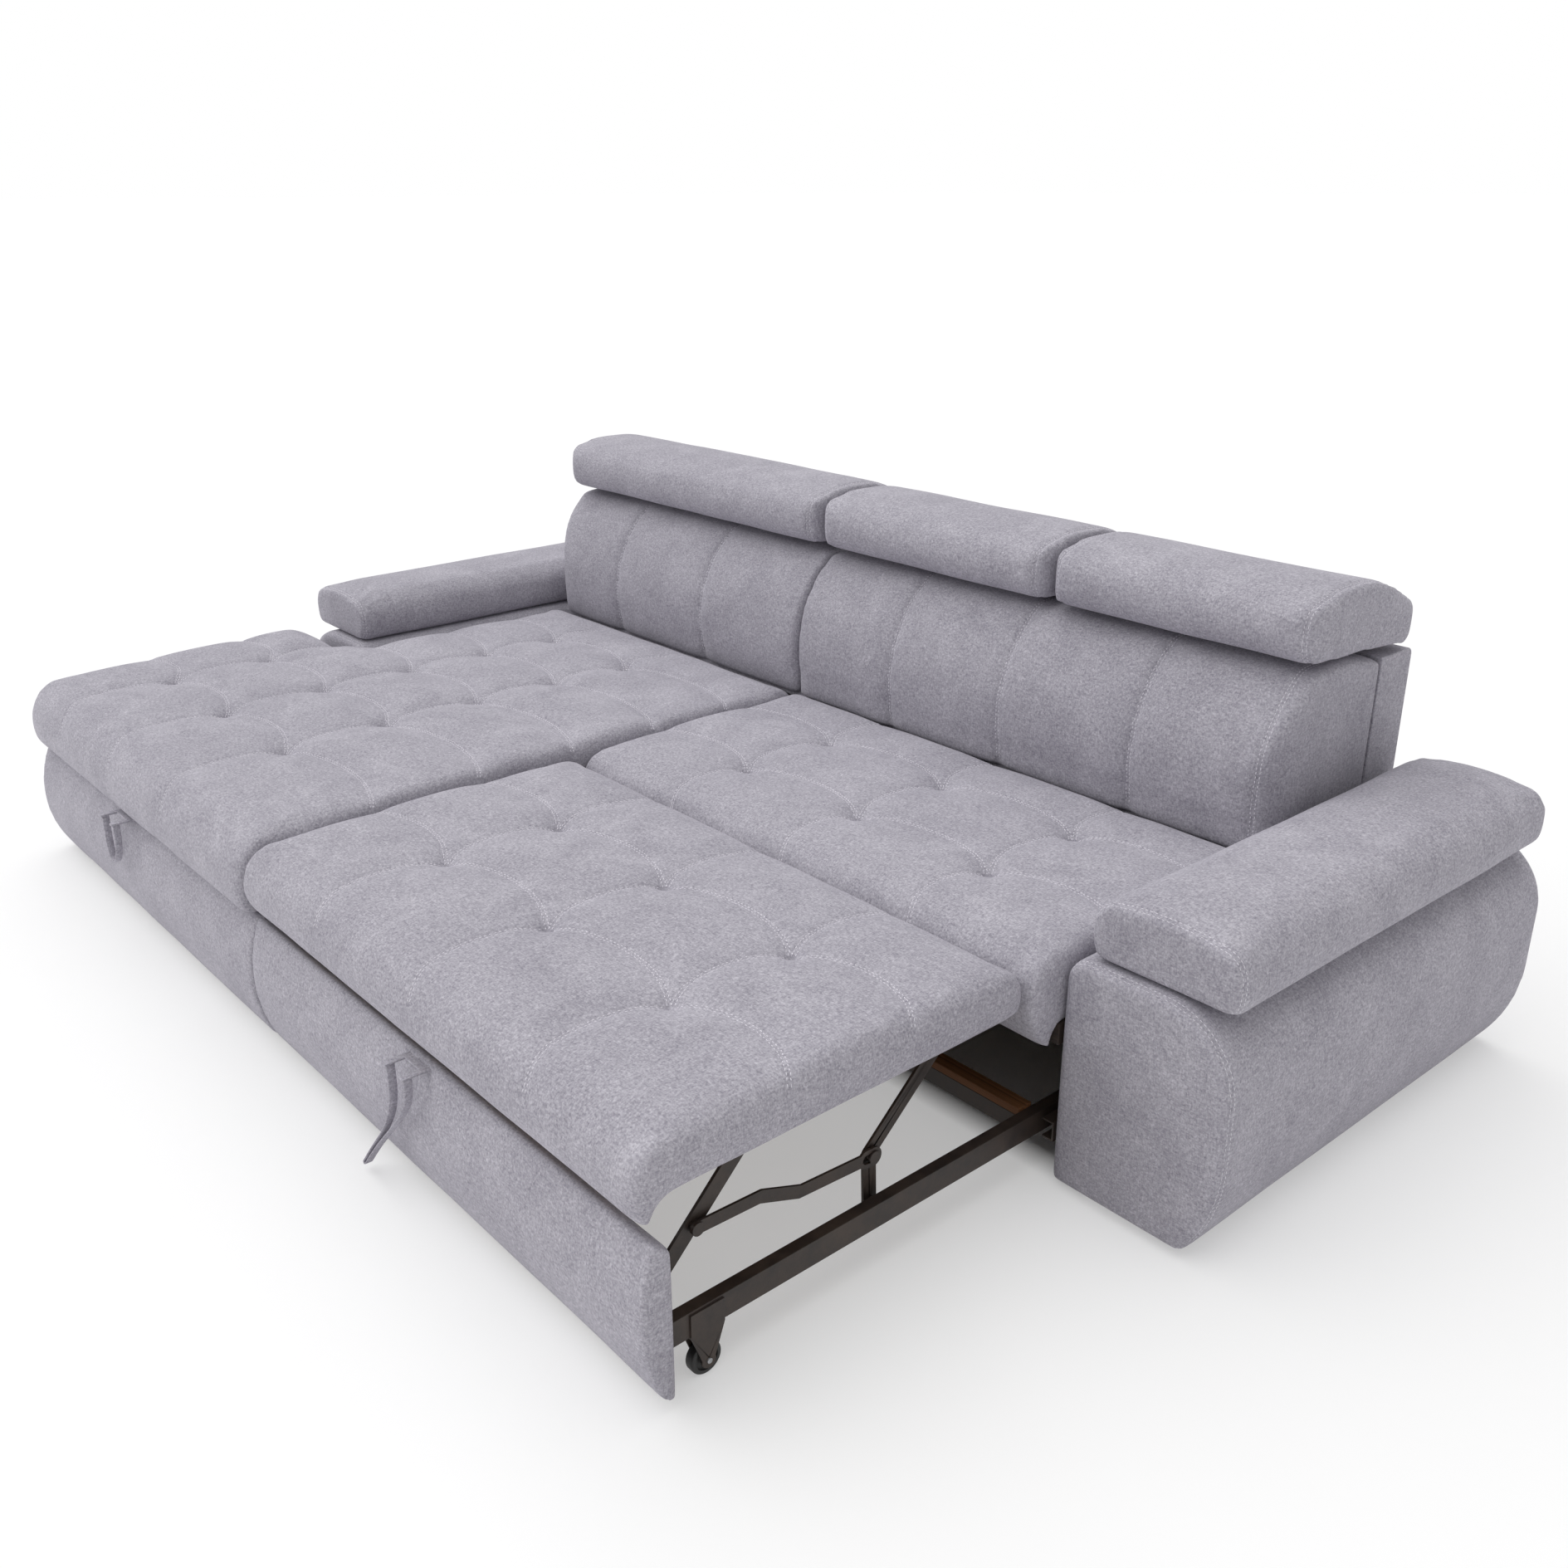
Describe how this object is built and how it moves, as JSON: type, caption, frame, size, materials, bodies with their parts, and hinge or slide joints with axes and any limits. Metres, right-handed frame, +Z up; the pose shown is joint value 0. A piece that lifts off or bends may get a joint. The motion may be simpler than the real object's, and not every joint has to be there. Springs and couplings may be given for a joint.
{
  "type": "corner sofa bed",
  "caption": "Corner sofa bed with a lift-up storage chaise, quilted seat pads, padded arms, tilting headrests and a pull-out pad on a lifting castor drawer frame.",
  "frame": {"origin": "middle of the footprint, on the floor", "axes": "+X to the right arm as seen from the front, -Y towards the front, +Z up"},
  "size_m": [2.75, 1.743, 0.846],
  "materials": {
    "upholstery": "mottled velour",
    "strap_fabric": "folded velour",
    "plywood": "raw plywood",
    "timber": "planed pine",
    "black_steel": "satin powder coat",
    "zinc_steel": "zinc plated",
    "black_nylon": "moulded nylon",
    "webbing": "woven elastic webbing"
  },
  "bodies": {
    "base": {"right_arm_body": "upholstery", "left_arm_body": "upholstery", "right_arm_pad": "upholstery", "left_arm_pad": "upholstery", "back_shell": "upholstery", "back_frame": "timber", "back_ledge_board": "upholstery", "back_cushion_left": "upholstery", "back_cushion_right": "upholstery", "headrest_hinge_leaves": "black_steel", "main_seat_cushion": "upholstery", "main_seat_frame": "timber", "seat_webbing": "webbing", "chaise_front_panel": "upholstery", "chaise_side_panel": "upholstery", "chaise_partition": "plywood", "chaise_rear_board": "plywood", "chaise_floor_board": "plywood", "chaise_hinge_leaves": "black_steel", "base_glides": "black_nylon", "drawer_tracks": "black_steel"},
    "drawer": {"drawer_front_panel": "upholstery", "drawer_rail_left": "black_steel", "drawer_rail_right": "black_steel", "drawer_cross_bars": "black_steel", "drawer_batten": "timber", "castor_forks": "black_steel", "castor_axles": "zinc_steel", "rear_roller_axles": "zinc_steel", "lift_pivot_bolts": "black_steel", "pull_strap_tab": "strap_fabric", "pull_strap": "strap_fabric"},
    "left_castor": {"castor_wheel_left": "black_nylon"},
    "right_castor": {"castor_wheel_right": "black_nylon"},
    "left_roller": {"rear_roller_left": "black_nylon"},
    "right_roller": {"rear_roller_right": "black_nylon"},
    "front_arms": {"lift_arm_front_left": "black_steel", "lift_arm_front_right": "black_steel", "stay_rivets_front": "black_steel"},
    "rear_arms": {"lift_arm_rear_left": "black_steel", "lift_arm_rear_right": "black_steel", "stay_rivets_rear": "black_steel"},
    "stays": {"lift_stay_left": "black_steel", "lift_stay_right": "black_steel"},
    "bed": {"bed_pad": "upholstery", "bed_platform_board": "plywood", "bed_bearers": "timber", "lift_brackets": "black_steel"},
    "chaise_lid": {"chaise_pad": "upholstery", "chaise_lid_board": "plywood", "chaise_hinge_pins": "zinc_steel", "chaise_loop_tab": "strap_fabric", "chaise_loop": "strap_fabric"},
    "left_headrest": {"headrest_left": "upholstery", "headrest_pins_left": "zinc_steel"},
    "middle_headrest": {"headrest_middle": "upholstery", "headrest_pins_middle": "zinc_steel"},
    "right_headrest": {"headrest_right": "upholstery", "headrest_pins_right": "zinc_steel"}
  },
  "joints": [
    {"name": "drawer_slide", "type": "slide", "parent": "base", "child": "drawer", "axis": [0, -1, 0], "range_m": [0, 0.125]},
    {"name": "front_arm_swing", "type": "hinge", "parent": "drawer", "child": "front_arms", "pos_m": [0.484, -0.782, 0.092], "axis": [-1, 0, 0], "range_deg": [0, 35.9]},
    {"name": "rear_arm_swing", "type": "hinge", "parent": "drawer", "child": "rear_arms", "pos_m": [0.484, -0.411, 0.092], "axis": [-1, 0, 0], "range_deg": [0, 35.9]},
    {"name": "bed_level", "type": "hinge", "parent": "front_arms", "child": "bed", "pos_m": [0.484, -0.64, 0.307], "axis": [-1, 0, 0], "range_deg": [-35.9, 0]},
    {"name": "stay_swing", "type": "hinge", "parent": "front_arms", "child": "stays", "pos_m": [0.484, -0.731, 0.214], "axis": [-1, 0, 0], "range_deg": [-43, 0]},
    {"name": "left_castor_spin", "type": "hinge", "parent": "drawer", "child": "left_castor", "pos_m": [-0.069, -0.74, 0.025], "axis": [1, 0, 0], "continuous": true},
    {"name": "right_castor_spin", "type": "hinge", "parent": "drawer", "child": "right_castor", "pos_m": [1.037, -0.74, 0.025], "axis": [1, 0, 0], "continuous": true},
    {"name": "left_roller_spin", "type": "hinge", "parent": "drawer", "child": "left_roller", "pos_m": [-0.1, 0.096, 0.096], "axis": [1, 0, 0], "continuous": true},
    {"name": "right_roller_spin", "type": "hinge", "parent": "drawer", "child": "right_roller", "pos_m": [1.068, 0.096, 0.096], "axis": [1, 0, 0], "continuous": true},
    {"name": "chaise_lid_lift", "type": "hinge", "parent": "base", "child": "chaise_lid", "pos_m": [-0.6, 0.365, 0.342], "axis": [-1, 0, 0], "range_deg": [0, 55]},
    {"name": "left_headrest_tilt", "type": "hinge", "parent": "base", "child": "left_headrest", "pos_m": [-0.602, 0.803, 0.749], "axis": [-1, 0, 0], "range_deg": [0, 65]},
    {"name": "middle_headrest_tilt", "type": "hinge", "parent": "base", "child": "middle_headrest", "pos_m": [0.2075, 0.803, 0.749], "axis": [-1, 0, 0], "range_deg": [0, 65]},
    {"name": "right_headrest_tilt", "type": "hinge", "parent": "base", "child": "right_headrest", "pos_m": [0.812, 0.803, 0.749], "axis": [-1, 0, 0], "range_deg": [0, 65]}
  ],
  "couplings": [
    {"joint": "front_arm_swing", "follows": "drawer_slide", "rad_per_m": 5},
    {"joint": "rear_arm_swing", "follows": "drawer_slide", "rad_per_m": 5},
    {"joint": "bed_level", "follows": "drawer_slide", "rad_per_m": -5},
    {"joint": "stay_swing", "follows": "drawer_slide", "rad_per_m": -5.99}
  ]
}
